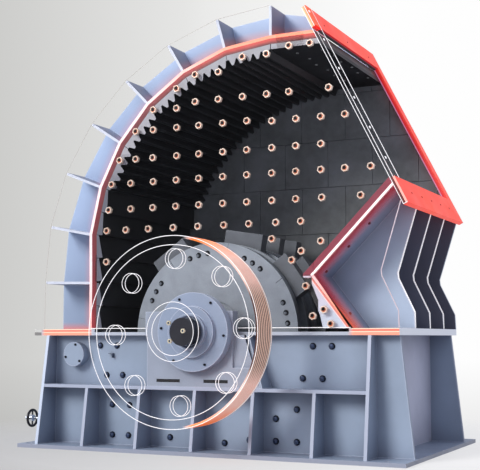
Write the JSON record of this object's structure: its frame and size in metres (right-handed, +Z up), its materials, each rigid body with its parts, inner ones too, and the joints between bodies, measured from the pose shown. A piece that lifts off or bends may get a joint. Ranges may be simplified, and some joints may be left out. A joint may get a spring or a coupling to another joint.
{
  "type": "hammer crusher",
  "caption": "Heavy hammer crusher in section: welded base, lined arched housing with slanted feed opening, hammer rotor on a through shaft and a grooved drive pulley.",
  "frame": {"origin": "floor level at the centre of the four anchor holes, under the middle of the rotor", "axes": "+X to the feed end, -Y to the drive pulley, +Z up"},
  "size_m": [3.1949, 2.194, 3.264],
  "materials": {
    "blue_paint": "satin blue-grey machine paint",
    "bearing_paint": "satin pale blue-grey paint on turned iron",
    "ring_paint": "satin light blue paint",
    "bright_steel": "turned",
    "black_paint": "gloss black paint",
    "liner_iron": "dark wear-resistant casting",
    "clear_panel": "clear sheet with pale edges",
    "backing_paint": "dark red section paint",
    "section_red": "bright red-orange section paint",
    "shaft_steel": "dark oiled steel",
    "rotor_iron": "mid grey, worn",
    "hammer_iron": "dark grey, worn",
    "pulley_iron": "orange and copper section paint"
  },
  "bodies": {
    "housing": {"foot_flange": "blue_paint", "near_base_wall": "blue_paint", "far_base_wall": "blue_paint", "left_end_wall": "blue_paint", "right_end_wall": "blue_paint", "base_split_flange": "blue_paint", "near_ledge": "blue_paint", "far_ledge": "blue_paint", "near_base_ribs": "blue_paint", "far_base_ribs": "blue_paint", "near_pedestal": "blue_paint", "far_pedestal": "blue_paint", "near_bearing_housing": "bearing_paint", "far_bearing_housing": "bearing_paint", "access_cover": "blue_paint", "spindle_bracket": "bright_steel", "near_base_liners": "liner_iron", "far_base_liners": "liner_iron", "housing_split_flange": "blue_paint", "near_side_wall": "clear_panel", "far_side_wall": "blue_paint", "shell_plate": "blue_paint", "shell_backing": "backing_paint", "serrated_liners": "liner_iron", "wedge_liners": "liner_iron", "roof_liner": "liner_iron", "far_wall_liners": "liner_iron", "shell_fins": "blue_paint", "near_stiffening_ring": "ring_paint", "far_stiffening_ring": "ring_paint", "feed_flange": "section_red", "near_feed_member": "clear_panel", "feed_floor": "blue_paint", "lower_plate": "blue_paint", "nose_liners": "liner_iron", "near_gusset": "clear_panel", "feed_end_ribs": "blue_paint"},
    "rotor": {"main_shaft": "shaft_steel", "rotor_discs": "rotor_iron", "guard_plates": "rotor_iron", "hammers": "hammer_iron", "hammer_pins": "bright_steel", "drive_pulley": "pulley_iron"},
    "handwheel": {"handwheel": "black_paint"}
  },
  "joints": [
    {"name": "rotor_spin", "type": "hinge", "parent": "housing", "child": "rotor", "pos_m": [0, 0, 0.88], "axis": [0, 1, 0], "continuous": true},
    {"name": "handwheel_turn", "type": "hinge", "parent": "housing", "child": "handwheel", "pos_m": [-1.5, -0.7, 0.205], "axis": [-1, 0, 0], "continuous": true}
  ]
}
